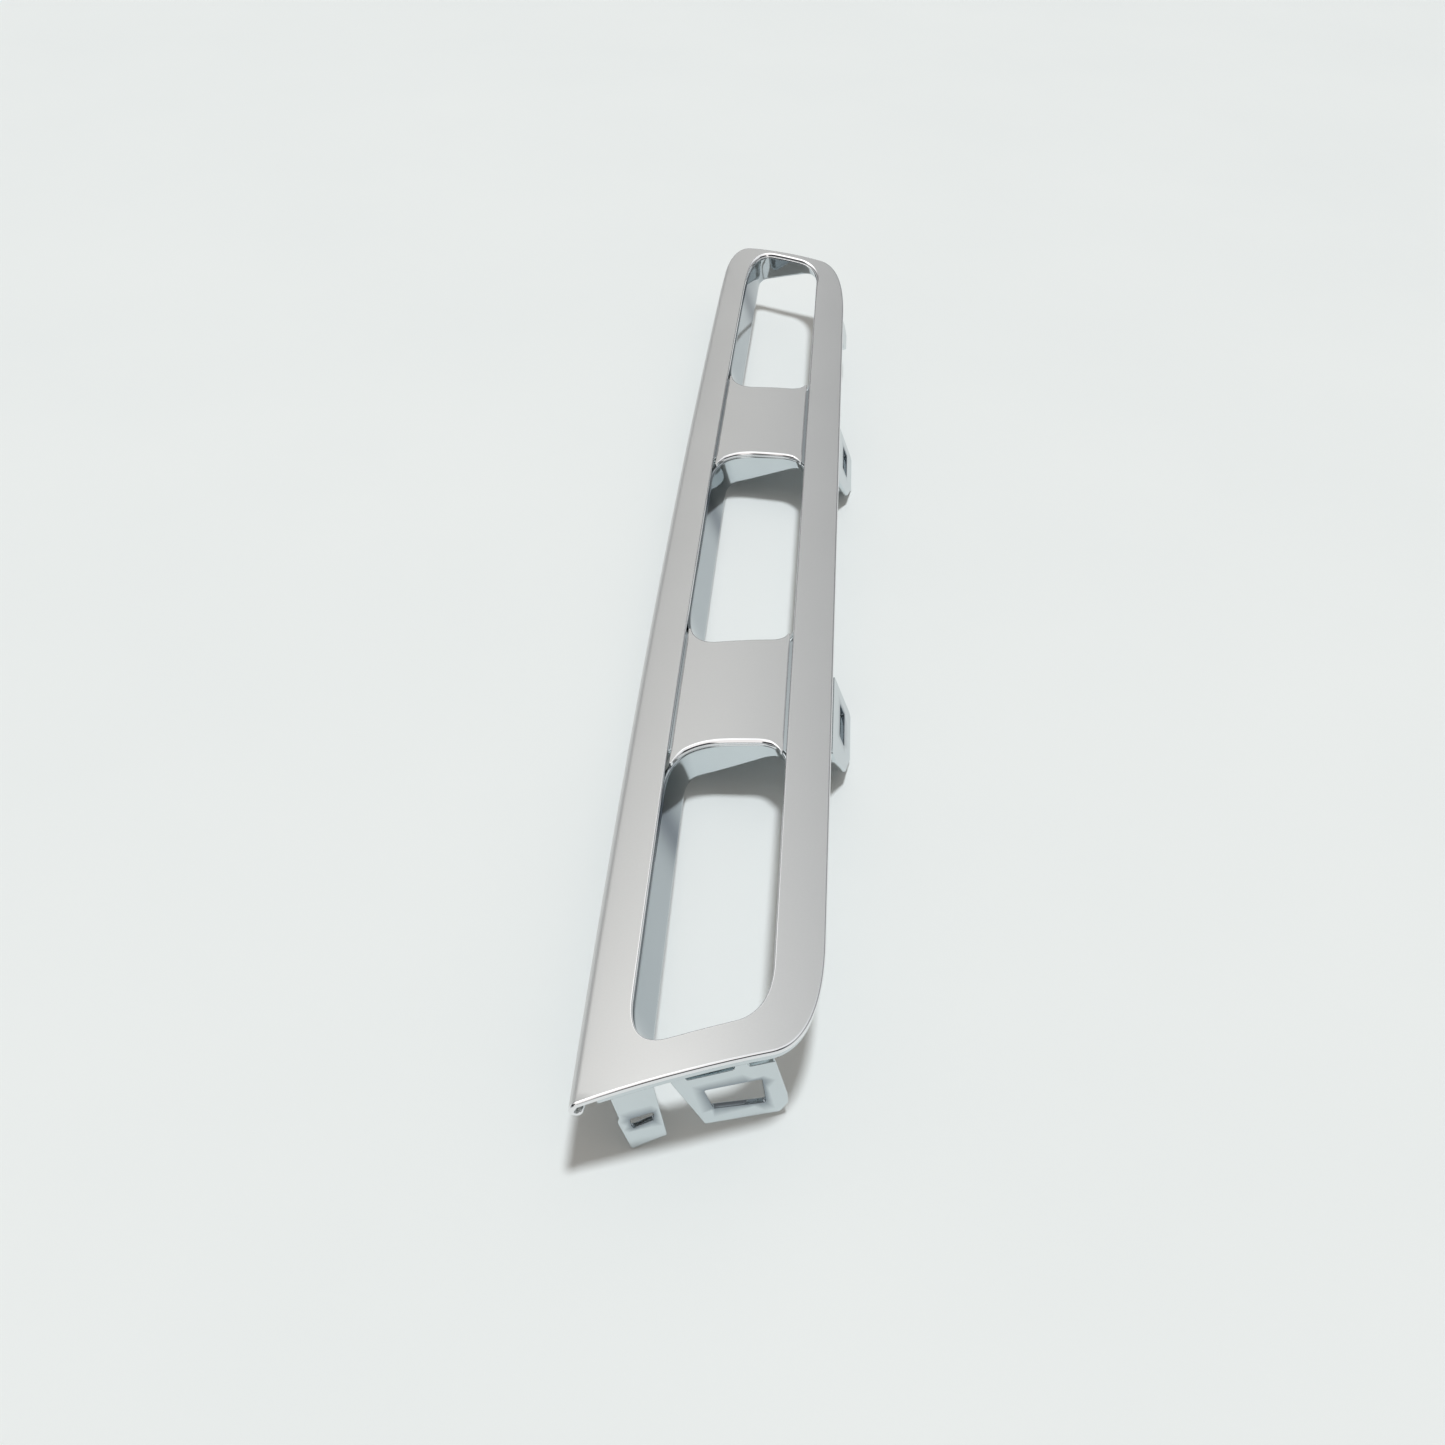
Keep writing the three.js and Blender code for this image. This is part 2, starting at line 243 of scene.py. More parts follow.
# What reflections see: a ceiling that is bright overhead, brighter on the left, and mostly dark in front.
BACK_LEFT_SKY = ((0.2, 0.2, 0.2, 1), (1.75, 1.75, 1.72, 1))
BACK_RIGHT_SKY = ((0.25, 0.255, 0.26, 1), (0.9, 0.92, 0.93, 1))
FRONT_SKY = ((0.03, 0.03, 0.035, 1), (1.2, 1.17, 1.15, 1))
FRONT_GAP_SKY = (1.0, 0.97, 0.95, 1)
LOW_SKY = (0.55, 0.57, 0.57, 1)
# What dull surfaces and the camera see.
DULL_SKY = (0.38, 0.35, 0.32, 1)
SEEN_SKY = (0.78, 0.81, 0.81, 1)


# ---- The bends of the resting part ----
def face_top(x):
    return -x * x / (2 * CROWN_RADIUS)


def lay(points):
    """Points of the straight part, moved to their places on the resting part."""
    x, y, z = np.asarray(points, float).T
    share = (y / HALF_LENGTH) ** 2
    wedge = np.where(x < 0, WEDGE * y / HALF_LENGTH, 0)
    x = x * (1 - TAPER * share) * (1 - wedge) + BOW * share
    z = z + SAG * share
    cos, sin = math.cos(REST_ROLL), math.sin(REST_ROLL)
    return np.column_stack([x * cos - z * sin, y, x * sin + z * cos])


# ---- Loops ----
def bezier(start, corner, end, count=20):
    t = np.linspace(0, 1, count + 1)[:, None]
    start, corner, end = map(np.array, (start, corner, end))
    return (1 - t) ** 2 * start + 2 * t * (1 - t) * corner + t**2 * end


def end_corner(end, inwards, edge, side):
    """The soft corner of one end, from its left to its right."""
    across, along = end["left" if side < 0 else "right"]
    at = lambda x: end["y"] + end["slope"] * x
    inner = (edge - side * across, at(edge - side * across))
    outer = (edge, at(edge) + inwards * along)
    curve = bezier(outer, (edge, at(edge)), inner)
    return curve if side < 0 else curve[::-1]


def end_curve(end, inwards, left, right):
    return np.vstack([end_corner(end, inwards, left, -1), end_corner(end, inwards, right, 1)])


def loop_between(near, far, left, right):
    return np.vstack([end_curve(near, 1, left, right), end_curve(far, -1, left, right)[::-1]])


def opening_loop(near, far):
    return loop_between(near, far, RAIL_LEFT, RAIL_RIGHT)


def liner_loop(near, far):
    return opening_loop(near, dict(far, left=LINER_CORNER))


def face_loop(inset, left):
    def drawn_in(end, inwards):
        return dict(end, y=end["y"] + inwards * inset * math.hypot(1, end["slope"]))

    return loop_between(drawn_in(FACE["near"], 1), drawn_in(FACE["far"], -1), left, RIGHT - inset)


def sliced(loop, step):
    """The loop with points added, so that no side is longer than the step."""
    points = []
    for start, end in zip(loop, np.roll(loop, -1, 0)):
        pieces = max(1, math.ceil(np.linalg.norm(end - start) / step))
        points += [start + (end - start) * k / pieces for k in range(pieces)]
    return np.array(points)


def filleted(corners, radius, count=5):
    """A loop with its sharp corners rounded."""
    corners = np.array(corners, float)
    points = []
    for before, corner, after in zip(np.roll(corners, 1, 0), corners, np.roll(corners, -1, 0)):
        arms = [before - corner, after - corner]
        lengths = [np.linalg.norm(arm) for arm in arms]
        cosine = np.dot(*arms) / math.prod(lengths)
        half = math.acos(max(-1, min(1, cosine))) / 2
        reach = min(radius * math.cos(half) / math.sin(half) ** 2, 0.45 * min(lengths))
        if reach < LEAST_FILLET:
            points.append([corner])
        else:
            start, end = (corner + arm / length * reach for arm, length in zip(arms, lengths))
            points.append(bezier(start, corner, end, count))
    return np.vstack(points)


def outward(loop):
    """Normals that point away from the material, which lies on the left of the loop."""
    ahead = np.roll(loop, -1, 0) - loop
    ahead /= np.linalg.norm(ahead, axis=1)[:, None]
    behind = np.roll(ahead, 1, 0)
    along = ahead + behind
    along /= np.linalg.norm(along, axis=1)[:, None]
    mitre = 1 / np.clip(np.sum(along * ahead, axis=1), 0.75, 1)
    return np.column_stack([along[:, 1], -along[:, 0]]) * mitre[:, None]


def offset_loop(loop, distance):
    """An anticlockwise loop moved outwards."""
    return loop + outward(loop) * distance


def inside(points, loop):
    """Whether each point lies inside the loop, by counting crossings."""
    x, y = points[:, 0][:, None], points[:, 1][:, None]
    ax, ay = loop.T
    bx, by = np.roll(loop, -1, 0).T
    crosses = (ay > y) != (by > y)
    with np.errstate(divide="ignore", invalid="ignore"):
        at = ax + (y - ay) / (by - ay) * (bx - ax)
    return np.sum(crosses & (x < at), axis=1) % 2 == 1


def clearance(points, loop):
    """Distance from each point to the nearest side of the loop."""
    a, b = loop, np.roll(loop, -1, 0)
    side = b - a
    share = np.einsum("nmk,mk->nm", points[:, None] - a, side) / np.sum(side**2, axis=1)
    nearest = a + np.clip(share, 0, 1)[..., None] * side
    return np.linalg.norm(points[:, None] - nearest, axis=2).min(axis=1)


# ---- Plates: a sheet with rounded edges, bent by a surface function ----
def edge_rings(top, bottom, thickness):
    """(inset, depth) of each ring round an edge, from the top of a sheet to its underside."""
    turn = np.radians(np.linspace(0, 90, 7))
    rings = [(top + np.minimum(SUPPORT, top / 2), 0 * top)]
    rings += [(top * (1 - math.sin(a)), top * (1 - math.cos(a))) for a in turn]
    rings += [(bottom * (1 - math.cos(a)), thickness - bottom * (1 - math.sin(a))) for a in turn[::2]]
    rings += [(bottom + np.minimum(SUPPORT, bottom / 2), thickness + 0 * bottom)]
    return rings


def triangulate(loops, inner):
    """Triangles between the loops' points and the inner points, on the left of every loop."""
    points = np.vstack([*loops, inner])
    rims, start = set(), 0
    for loop in loops:
        n = len(loop)
        rims |= {(start + i, start + (i + 1) % n) for i in range(n)}
        start += n
    _, _, faces, origin, _, _ = delaunay_2d_cdt([Vector(p) for p in points], sorted(rims), [], 0, 1e-7)
    faces = [tuple(origin[i][0] for i in face) for face in faces]
    owners = {(face[i - 1], face[i]): face for face in faces for i in range(3)}
    waiting = [owners[rim] for rim in sorted(rims)]
    kept = dict.fromkeys(waiting)
    while waiting:
        face = waiting.pop()
        for i in range(3):
            a, b = face[i - 1], face[i]
            beyond = owners.get((b, a))
            if (a, b) not in rims and beyond not in kept:
                kept[beyond] = None
                waiting.append(beyond)
    return np.array(list(kept))


def plate(surface, loops, radii, thickness, inner, leans=None):
    """Vertices, faces and edge polish of a sheet: 1 on its rounded edges, which tabs turn into a painted
    highlight. radii holds (top, bottom) for each loop.
    """
    leans = leans or [0] * len(loops)
    verts, faces, polish_and_painted_shade, tops, bottoms, top_loops = [], [], [], [], [], []
    count = 0
    for loop, (top, bottom), lean in zip(loops, radii, leans):
        n = len(loop)
        top = np.broadcast_to(np.asarray(top, float), n)
        bottom = np.broadcast_to(np.asarray(bottom, float), n)
        normals = outward(loop)
        rings = edge_rings(top, bottom, thickness)
        for k, (inset, depth) in enumerate(rings):
            spot = loop - normals * inset[:, None] + np.column_stack([lean * depth, 0 * depth])
            verts.append(surface(spot[:, 0], spot[:, 1], depth))
            polish_and_painted_shade.append(np.full(n, 0.0 if k in (0, len(rings) - 1) else 1.0))
            if k == 0:
                top_loops.append(spot)
        for k in range(len(rings) - 1):
            for i in range(n):
                a, b = count + k * n + i, count + k * n + (i + 1) % n
                faces.append((a, a + n, b + n, b))
        tops.append(count + np.arange(n))
        bottoms.append(count + (len(rings) - 1) * n + np.arange(n))
        count += len(rings) * n
    for side, rims, depth in ((1, tops, 0.0), (-1, bottoms, thickness)):
        if len(inner):
            verts.append(surface(inner[:, 0], inner[:, 1], np.full(len(inner), depth)))
            polish_and_painted_shade.append(np.zeros(len(inner)))
        ids = np.concatenate([*rims, count + np.arange(len(inner))]).astype(int)
        if side == 1:
            triangles = triangulate(top_loops, inner)
        faces += [tuple(ids[t][::side]) for t in triangles]
        count += len(inner)
    return np.vstack(verts), faces, np.concatenate(polish_and_painted_shade)


def inner_grid(loops, us, step, room):
    """Points at the given u and every step of v, clear of the loops."""
    low, high = loops[0][:, 1].min(), loops[0][:, 1].max()
    vs = np.arange(low + step / 2, high, step)
    points = np.array([(u, v) for u in us for v in vs])
    points = points[inside(points, loops[0])]
    for hole in loops[1:]:
        points = points[~inside(points, hole)]
    near = np.min([clearance(points, loop) for loop in loops], axis=0)
    return points[near > room]


# ---- Meshes and objects ----
def signed_volume(verts, faces):
    """Volume inside the faces, which is negative if they point inwards."""
    total = 0.0
    for face in faces:
        p = verts[list(face)]
        for i in range(1, len(p) - 1):
            total += np.dot(p[0], np.cross(p[i], p[i + 1]))
    return total / 6


def make_piece(name, shape, node, body, material):
    """One visible piece, in place of its CAD node."""
    verts, faces, polish_and_painted_shade = shape
    places = (lay(verts) + shift) * MM
    if signed_volume(places, faces) < 0:
        faces = [face[::-1] for face in faces]
    mesh = bpy.data.meshes.new(name)
    mesh.from_pydata(places.tolist(), [], [tuple(int(i) for i in f) for f in faces])
    mesh.validate()
    mesh.shade_smooth()
    mesh.attributes.new("polish_and_painted_shade", "FLOAT", "POINT").data.foreach_set("value", polish_and_painted_shade.astype(np.float32))
    mesh.materials.append(material)
    piece = bpy.data.objects.new(name, mesh)
    bpy.context.scene.collection.objects.link(piece)
    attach(piece, body)
    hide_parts(node)


# ---- The satin face ----
# Across the roll the sheet is drawn unrolled: s keeps falling past ROLL_START, where the dome ends.
ROLL_START = LEFT + LIP_RADIUS * (1 + LEFT / CROWN_RADIUS)
START_NORMAL = math.atan2(1, ROLL_START / CROWN_RADIUS)
ROLL_TURN = math.radians(LIP_END) - START_NORMAL
ROLL_CENTRE = (
    ROLL_START - LIP_RADIUS * math.cos(START_NORMAL),
    face_top(ROLL_START) - LIP_RADIUS * math.sin(START_NORMAL),
)
TIP = ROLL_START - LIP_RADIUS * ROLL_TURN


def face_surface(s, y, depth):
    flat = np.maximum(s, ROLL_START)
    slope = flat / CROWN_RADIUS
    size = np.hypot(slope, 1)
    x = flat - depth * slope / size
    z = face_top(flat) - depth / size
    angle = START_NORMAL + (ROLL_START - s) / LIP_RADIUS
    rolled = s < ROLL_START
    x = np.where(rolled, ROLL_CENTRE[0] + (LIP_RADIUS - depth) * np.cos(angle), x)
    z = np.where(rolled, ROLL_CENTRE[1] + (LIP_RADIUS - depth) * np.sin(angle), z)
    return np.column_stack([x, y, z])


def unrolled(x):
    """s of a point of the upper side of the roll, or of the dome."""
    if x >= ROLL_START:
        return x
    angle = math.acos(max(-1.0, (x - ROLL_CENTRE[0]) / LIP_RADIUS))
    return ROLL_START - (angle - START_NORMAL) * LIP_RADIUS


def face_outline():
    """The face's outline on the unrolled sheet, anticlockwise from the lip's tip at the near end."""
    near, far = FACE["near"], FACE["far"]
    lip = []
    for s in np.linspace(TIP, ROLL_START, 17):
        x = float(face_surface(np.array([s]), 0, 0)[0, 0])
        lip.append((s, near["y"] + near["slope"] * x))
    tip_corner = bezier((TIP, lip[0][1] + LIP_CORNER), lip[0], lip[3])
    lip = [*tip_corner, *lip[4:]]
    corner = end_corner(far, -1, LEFT - GAP, -1)[::-1]
    upper = [(unrolled(x), y) for x, y in corner if x > ROLL_CENTRE[0] - LIP_RADIUS * 0.9]
    last_s, last_y = upper[-1]
    fade = []
    for t in np.linspace(0, 1, 15)[1:]:
        ease = t * t * (3 - 2 * t)
        fade.append((last_s + (TIP - last_s) * ease, last_y - LIP_FADE * t))
    near_right = end_corner(near, 1, RIGHT, 1)
    far_right = end_corner(far, -1, RIGHT, 1)[::-1]
    return np.array([*lip, *near_right, *far_right, *upper, *fade])


def smooth_radii(loop, rule, passes=6):
    """Radius at each point of a loop by a rule, blended along it."""
    radii = np.array([rule(u, v) for u, v in loop], float)
    for _ in range(passes):
        radii = (np.roll(radii, 1) + 2 * radii + np.roll(radii, -1)) / 4
    return radii


def make_face():
    outer = sliced(face_outline(), FACE_STEP)
    first, last = WINDOWS["near"][0], WINDOWS["far"][1]
    opening = sliced(opening_loop(first, last), FACE_STEP)[::-1]
    edge = smooth_radii(outer, lambda s, y: LIP_ROUND if s < TIP + 1 else EDGE_ROUND)
    under = smooth_radii(outer, lambda s, y: LIP_ROUND if s < TIP + 1 else UNDER_ROUND)

    def rail_round(x, y):
        """The opening's far end has a fat bead, and its other sides a small rounding."""
        at_end = abs(y - last["y"] - last["slope"] * x) < BEAD_REACH
        return END_BEAD if at_end else RAIL_ROUND

    rail = smooth_radii(opening, rail_round, 10)
    flat_us = np.arange(-21, RIGHT, 3.6)
    roll_us = np.arange(TIP + 0.3, ROLL_START + 0.4, 0.42)
    loops = [outer, opening]
    on_flat = inner_grid(loops, flat_us, step=5, room=1.4)
    on_roll = inner_grid(loops, roll_us, step=2.5, room=0.85)
    radii = [(edge, under), (rail, UNDER_ROUND)]
    return plate(face_surface, loops, radii, SKIN, np.vstack([on_flat, on_roll]))


# ---- Bars across the opening ----
def between(curve, low, high):
    """The part of a curve, drawn from left to right, with x between two values."""
    x, y = curve.T
    kept = curve[(x > low + CUT_ROOM) & (x < high - CUT_ROOM)]
    ends = [(e, np.interp(e, x, y)) for e in (low, high)]
    return np.vstack([[ends[0]], kept, [ends[1]]])


def nib(x, y, towards_mid, inwards):
    """The small rounding at a horn's tip, from the rail's side."""
    return bezier((x, y + HORN_NIB * towards_mid), (x, y), (x + HORN_NIB * inwards, y), 4)


def make_bar(before, after, bead):
    low, high = RAIL_LEFT + GROOVE, RAIL_RIGHT - GROOVE
    blunt = (low + HORN_WIDTH, high - HORN_WIDTH)
    near = between(end_curve(before, -1, RAIL_LEFT, RAIL_RIGHT), *blunt)
    far = between(end_curve(after, 1, RAIL_LEFT, RAIL_RIGHT), *blunt)
    near_side = [nib(low, near[0, 1], 1, 1), near, nib(high, near[-1, 1], 1, -1)[::-1]]
    far_side = [nib(high, far[-1, 1], -1, -1), far[::-1], nib(low, far[0, 1], -1, 1)[::-1]]
    loop = sliced(np.vstack([*near_side, *far_side]), BAR_STEP)
    mid = (before["y"] + after["y"]) / 2

    def top_round(x, y):
        """Full along an end, small at the horns, and the groove's rounding along the sides."""
        side, full = (near, bead) if y < mid else (far, BAR_BACK_ROUND)
        from_side = min(x - low, high - x)
        if from_side < HORN_WIDTH - HORN_MARGIN:
            from_tip = abs(y - side[0 if x < 0 else -1, 1])
            return min(RAIL_ROUND, HORN_ROUND + HORN_TO_SIDE * max(0, from_tip - HORN_BLUNT))
        return min(full, HORN_ROUND + HORN_TO_END * max(0, from_side - HORN_WIDTH))

    top = np.array([top_round(x, y) for x, y in loop])
    inner = inner_grid([loop], np.arange(-12, 13, 3), step=3, room=1.7)

    def surface(x, y, depth):
        return np.column_stack([x, y, face_top(x) - depth])

    return plate(surface, [loop], [(top, BAR_UNDER_ROUND)], SKIN, inner)


# ---- Bright carrier and window walls ----
def make_carrier():
    outer = sliced(face_loop(DECK_INSET, DECK_LEFT), FACE_STEP)
    holes = []
    for near, far in WINDOWS.values():
        hole = offset_loop(sliced(liner_loop(near, far), FACE_STEP), WALL + GAP)
        slip = DRAW * (UNDER_FACE - SKIN - face_top(hole[:, 0]))
        holes.append((hole + np.column_stack([slip, 0 * slip]))[::-1])
    loops = [outer, *holes]

    def surface(x, y, depth):
        return np.column_stack([x, y, face_top(x) - UNDER_FACE - depth])

    inner = inner_grid(loops, np.arange(-18, RIGHT, 3), step=6, room=1)
    radii = [DECK_ROUNDS] + [(DECK_HOLE_ROUND, DECK_HOLE_ROUND)] * len(holes)
    return plate(surface, loops, radii, DECK, inner, [0] + [DRAW] * len(holes))


def spread(path, shares):
    """Points of a path at given shares of its length."""
    steps = np.linalg.norm(np.diff(path, axis=0), axis=1)
    at = np.concatenate([[0], np.cumsum(steps)]) / steps.sum()
    return np.column_stack([np.interp(shares, at, path[:, 0]), np.interp(shares, at, path[:, 1])])


def wall_loops(near, far):
    """The soft loop at the top of a wall, and the loop with a tighter corner at its bottom."""
    soft = end_corner(far, -1, RAIL_LEFT, -1)
    tight = end_corner(dict(far, left=LINER_CORNER), -1, RAIL_LEFT, -1)
    steps = np.linalg.norm(np.diff(soft, axis=0), axis=1)
    shares = np.concatenate([[0], np.cumsum(steps)]) / steps.sum()
    lower = spread(np.vstack([soft[:1], tight, soft[-1:]]), shares)
    rest = [end_curve(near, 1, RAIL_LEFT, RAIL_RIGHT), end_corner(far, -1, RAIL_RIGHT, 1)[::-1]]
    top = np.vstack([*rest, soft[::-1]])
    bottom = np.vstack([*rest, lower[::-1]])
    both = sliced(np.hstack([top, bottom]), WALL_STEP)
    return both[:, :2], both[:, 2:]


def fading(distance, full, none):
    """1 up to one distance, 0 beyond another, and straight between them."""
    return np.clip((none - distance) / (none - full), 0, 1)


def painted_wall_shade(loop, far_y, end_loss):
    """Brightness at each point round a window, painted shade that is lowest on the left near the far end."""
    x, y = loop.T
    from_end = far_y - y
    on_left = fading(x - RAIL_LEFT, *LEFT_WALL_FADE)
    dark_reflection = np.exp(-(((from_end - DARK_REFLECTION_AT) / DARK_REFLECTION_HALF) ** 2))
    brightness = 1 - on_left * (LEFT_WALL_LOSS + (1 - LEFT_WALL_LOSS) * DARK_REFLECTION_LOSS * dark_reflection)
    return brightness * (1 - end_loss * fading(from_end, *FAR_WALL_FADE))


def make_liner(near, far, end_loss):
    """A window's wall. Its path runs down the inner side, round the bottom and up the outer side."""
    top, bottom = wall_loops(near, far)
    path = [(k / WALL_ROWS, 0.0, 0.0) for k in range(WALL_ROWS + 1)]
    path += WALL_LIP
    path += [(k / WALL_ROWS, 1.0, 0.0) for k in range(WALL_ROWS, -1, -2)]
    n = len(top)
    verts = []
    for down, out, bulge in path:
        loop = top * (1 - down) + bottom * down
        loop = loop + outward(loop) * (out * WALL)
        upper = face_top(loop[:, 0]) - UNDER_FACE
        leaning = (DRAW * loop[:, 0] - DRAW**2 * SKIN - LINER_DROP) / (1 + DRAW**2)
        lower = np.minimum(leaning, upper - DECK - LINER_LEAST)
        z = upper + (lower - upper) * down - bulge
        slip = DRAW * (-SKIN - z)
        verts.append(np.column_stack([loop[:, 0] + slip, loop[:, 1], z]))
    faces = []
    for k in range(len(path)):
        for i in range(n):
            row, next_row = k * n, (k + 1) % len(path) * n
            next_i = (i + 1) % n
            faces.append((row + i, row + next_i, next_row + next_i, next_row + i))
    # Every ring of the wall carries the same painted shade and painted dark reflection.
    return np.vstack(verts), faces, np.tile(painted_wall_shade(top, far["y"], end_loss), len(path))


# ---- Snap tabs ----
def end_frame():
    """Origin, along, down and inwards of the tabs at the near end."""
    end = FACE["near"]
    along = np.array([1, end["slope"], 0]) / math.hypot(1, end["slope"])
    down = np.array([math.sin(END_LEAN), 0, -math.cos(END_LEAN)])
    inwards = np.cross(along, down)
    inwards /= np.linalg.norm(inwards)
    return np.array([0, end["y"] + END_TAB_INSET, END_TAB_Z]), along, down, inwards


def side_frame(x, start):
    """Origin, along, down and inwards of a tab on either side."""
    lean = math.atan(DRAW)
    along = np.array([0, 1, 0])
    down = np.array([math.sin(lean), 0, -math.cos(lean)])
    inwards = np.cross(along, down)
    inwards = inwards * -math.copysign(1, inwards[0] * x)
    return np.array([x, start, SIDE_TAB_Z]), along, down, inwards


def anticlockwise(loop):
    x, y = loop.T
    area = np.sum(x * np.roll(y, -1) - y * np.roll(x, -1))
    return loop if area > 0 else loop[::-1]


def cut_at_deck(axes, outline):
    """An outline, drawn as (along, down) the tab, cut off where it meets the underside of the deck."""
    origin, along, down, _ = axes

    def room(s, h):
        """How far below the deck a point is, measured down the tab."""
        x, _, z = origin + s * along
        return h - (z - face_top(x) + TAB_TOP) / -down[2]

    corners = []
    for start, end in zip(outline, outline[1:] + outline[:1]):
        here, there = room(*start), room(*end)
        if here > 0:
            corners.append(start)
        if here * there < 0:
            share = here / (here - there)
            corners.append(tuple(a + (b - a) * share for a, b in zip(start, end)))
        elif here < 0:
            pieces = max(1, round(abs(end[0] - start[0]) / 3))
            steps = [start[0] + (end[0] - start[0]) * k / pieces for k in range(1, pieces)]
            corners += [(s, -room(s, 0)) for s in steps]
    return corners


def make_tab(axes, outline, hole, flat_brightness):
    """A tab with a painted highlight on its edges over dimmer flats, and painted shade on the rim of its
    hole.
    """
    origin, along, down, inwards = axes
    loops = [anticlockwise(sliced(filleted(cut_at_deck(axes, outline), TAB_CORNER), TAB_STEP))]
    if hole is not None:
        loops.append(anticlockwise(sliced(filleted(hole, TAB_HOLE_CORNER), HOLE_STEP))[::-1])

    def surface(s, h, depth):
        return origin + np.outer(s, along) + np.outer(h, down) + np.outer(depth, inwards)

    us = np.arange(loops[0][:, 0].min() + 1.2, loops[0][:, 0].max(), 2.2)
    inner = inner_grid(loops, us, step=2.2, room=0.9)
    verts, faces, polish_and_painted_shade = plate(surface, loops, [TAB_ROUNDS] * len(loops), TAB, inner)
    brightness = flat_brightness + (1 - flat_brightness) * polish_and_painted_shade
    if hole is not None:
        rings = len(edge_rings(np.zeros(1), np.zeros(1), TAB))
        first = rings * len(loops[0])
        brightness[first : first + rings * len(loops[1])] = HOLE_RIM_BRIGHTNESS
    return verts, faces, brightness


def side_outline(depth):
    end = SIDE_LENGTH
    return [
        (0, 0), (end, 0), (end, depth - 1), (end - 1, depth),
        (12.5, depth), (4.5, depth - 3.3), (0, depth - 11),
    ]


def side_hole(depth):
    return [(12.5, depth - 8.8), (25.5, depth - 8.8), (25.5, depth - 5), (12.5, depth - 5)]


# ---- Materials ----
def shader(name):
    material = bpy.data.materials.new(name)
    material.use_nodes = True
    tree = material.node_tree
    tree.nodes.clear()
    return material, tree


def add(tree, kind, inputs=None, **settings):
    """A node with its settings, and its inputs set to values or joined to other nodes' outputs."""
    node = tree.nodes.new("ShaderNode" + kind)
    for key, value in settings.items():
        setattr(node, key, value)
    for key, value in (inputs or {}).items():
        socket = node.inputs[key]
        if isinstance(value, bpy.types.NodeSocket):
            tree.links.new(value, socket)
        else:
            socket.default_value = value
    return node


def math_node(tree, operation, *values):
    return add(tree, "Math", dict(enumerate(values)), operation=operation).outputs[0]


def mixed(tree, share, a, b):
    """A colour between a and b."""
    node = add(tree, "Mix", {"Factor": share}, data_type="RGBA")
    for socket, value in zip((node.inputs[6], node.inputs[7]), (a, b)):
        if isinstance(value, bpy.types.NodeSocket):
            tree.links.new(value, socket)
        else:
            socket.default_value = value
    return node.outputs[2]


def ranged(tree, value, low, high):
    """A 0..1 value spread over a range."""
    return add(tree, "MapRange", {"Value": value, "To Min": low, "To Max": high}).outputs[0]


def noise(tree, scale, detail):
    spot = add(tree, "TexCoord").outputs["Object"]
    return add(tree, "TexNoise", {"Vector": spot, "Scale": scale, "Detail": detail}).outputs["Fac"]


def metal_surface(tree, colour, rough, bump):
    inputs = {"Base Color": colour, "Metallic": 1.0, "Roughness": rough, "Normal": bump}
    surface = add(tree, "BsdfPrincipled", inputs)
    add(tree, "OutputMaterial", {"Surface": surface.outputs[0]})


def satin_metal():
    """Fine-grained dull plating, which turns bright on rounded edges, where its attribute is 1."""
    material, tree = shader("satin_metal_look")
    grain = noise(tree, 2600, 3)
    cloud = noise(tree, 45, 2)
    polish_and_painted_shade = add(tree, "Attribute", attribute_name="polish_and_painted_shade").outputs["Fac"]
    dull_rough = ranged(tree, cloud, 0.36, 0.42)
    dull_rough = math_node(tree, "ADD", dull_rough, ranged(tree, grain, -0.03, 0.03))
    rough_inputs = {"Factor": polish_and_painted_shade, 2: dull_rough, 3: ranged(tree, cloud, 0.03, 0.07)}
    rough = add(tree, "Mix", rough_inputs, data_type="FLOAT").outputs[0]
    colour = mixed(tree, polish_and_painted_shade, mixed(tree, grain, *SATIN), SATIN_EDGE)
    dull = math_node(tree, "SUBTRACT", 1.0, polish_and_painted_shade)
    depth = math_node(tree, "MULTIPLY", dull, 0.25)
    bump = add(tree, "Bump", {"Height": grain, "Strength": depth, "Distance": 0.00004}).outputs[0]
    metal_surface(tree, colour, rough, bump)
    return material


def bright_metal(name, has_painted_shade):
    """Bright plating with a faint wave. With painted shade, it turns towards a painted dark reflection as
    its attribute falls to 0.
    """
    material, tree = shader(name)
    cloud = noise(tree, 45, 2)
    wave = noise(tree, 28, 0)
    colour = mixed(tree, cloud, *SILVER)
    if has_painted_shade:
        polish_and_painted_shade = add(tree, "Attribute", attribute_name="polish_and_painted_shade").outputs["Fac"]
        colour = mixed(tree, polish_and_painted_shade, PAINTED_DARK_REFLECTION, colour)
    bump = add(tree, "Bump", {"Height": wave, "Strength": 0.12, "Distance": 0.0006}).outputs[0]
    metal_surface(tree, colour, ranged(tree, cloud, 0.03, 0.07), bump)
    return material


def floor_material():
    material, tree = shader("pale_floor")
    colour = mixed(tree, noise(tree, 9, 4), *FLOOR)
    surface = add(tree, "BsdfPrincipled", {"Base Color": colour, "Roughness": 0.6})
    surface.inputs["Specular IOR Level"].default_value = 0.25
    add(tree, "OutputMaterial", {"Surface": surface.outputs[0]})
    return material


# ---- Building the pieces ----
face_shape = make_face()
deck_shape = make_carrier()
face_shift = np.array(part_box("face_frame")[0]) / MM - lay(face_shape[0]).min(axis=0)
deck_shift = np.array(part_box("carrier")[0]) / MM - lay(deck_shape[0]).min(axis=0)
shift = np.array([face_shift[0], deck_shift[1], face_shift[2]])

satin_look = satin_metal()
deck_look = bright_metal("bright_metal_look", False)
painted_shade_wall_look = bright_metal("wall_metal_painted_shade_look", True)

